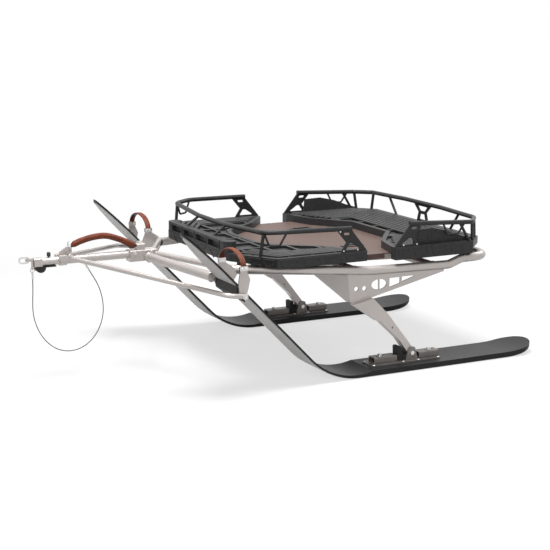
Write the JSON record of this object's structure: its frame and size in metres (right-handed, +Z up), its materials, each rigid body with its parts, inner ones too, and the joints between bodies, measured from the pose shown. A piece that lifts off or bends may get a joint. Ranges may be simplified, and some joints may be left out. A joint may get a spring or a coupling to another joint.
{
  "type": "snowmobile cargo sled",
  "caption": "Towed twin-ski cargo sled with a tubular frame on raked legs, ribbed trays inside rack rails, and a braced drawbar with leather pull handle.",
  "frame": {"origin": "on the floor under the middle of the sled's length and width", "axes": "+X towards the hitch along the length, +Y to the sled's left, +Z up"},
  "size_m": [2.172, 1.257, 0.6563],
  "materials": {
    "frame_paint": "satin champagne silver paint",
    "plated_steel": "bright zinc plate",
    "cable_jacket": "smooth black jacket",
    "black_rubber": "matt moulded rubber",
    "black_knob": "fine satin plastic",
    "brown_leather": "oiled brown leather with stitching",
    "deck_paint": "satin taupe paint",
    "tray_plastic": "fine grained moulded plastic",
    "rail_paint": "satin black paint",
    "ski_plastic": "satin black moulded plastic",
    "sole_plastic": "pale running base"
  },
  "bodies": {
    "root": {"arch_plate": "frame_paint", "bump_stop_left": "black_rubber", "bump_stop_right": "black_rubber", "cable_ferrules": "plated_steel", "cable_ring": "plated_steel", "cross_tubes": "frame_paint", "deck_handles": "black_knob", "deck_panel": "deck_paint", "deck_rails": "frame_paint", "drawbar_nose": "frame_paint", "drawbar_socket": "frame_paint", "drawbar_tube": "frame_paint", "foot_bolt_left": "plated_steel", "foot_bolt_right": "plated_steel", "foot_left": "frame_paint", "foot_right": "frame_paint", "front_beam": "frame_paint", "front_rail": "rail_paint", "front_tray": "tray_plastic", "inner_beam": "frame_paint", "leg_left": "frame_paint", "leg_right": "frame_paint", "nose_bumper": "black_rubber", "perimeter_frame": "frame_paint", "pin_knob": "black_knob", "pull_handle": "brown_leather", "rail_brackets": "rail_paint", "rear_rail": "rail_paint", "rear_tray": "tray_plastic", "saddle_left": "black_rubber", "saddle_right": "black_rubber", "safety_cable": "cable_jacket", "side_plate_left": "frame_paint", "side_plate_right": "frame_paint", "ski_left": "ski_plastic", "ski_right": "ski_plastic", "ski_sole_left": "sole_plastic", "ski_sole_right": "sole_plastic", "stay_collar": "frame_paint", "stay_left": "frame_paint", "stay_right": "frame_paint", "stirrup_bolt_left": "plated_steel", "stirrup_bolt_right": "plated_steel", "stirrup_left": "frame_paint", "stirrup_right": "frame_paint", "strap_clamps_left": "plated_steel", "strap_clamps_right": "plated_steel", "strap_left": "brown_leather", "strap_right": "brown_leather", "strap_ring": "plated_steel", "tray_struts": "frame_paint"},
    "tow_link": {"tow_link": "plated_steel"}
  },
  "joints": [
    {"name": "tow_link_swivel", "type": "hinge", "parent": "root", "child": "tow_link", "pos_m": [1.045, 0, 0.504], "axis": [0, 0, 1], "range_deg": [-90, 90]}
  ]
}
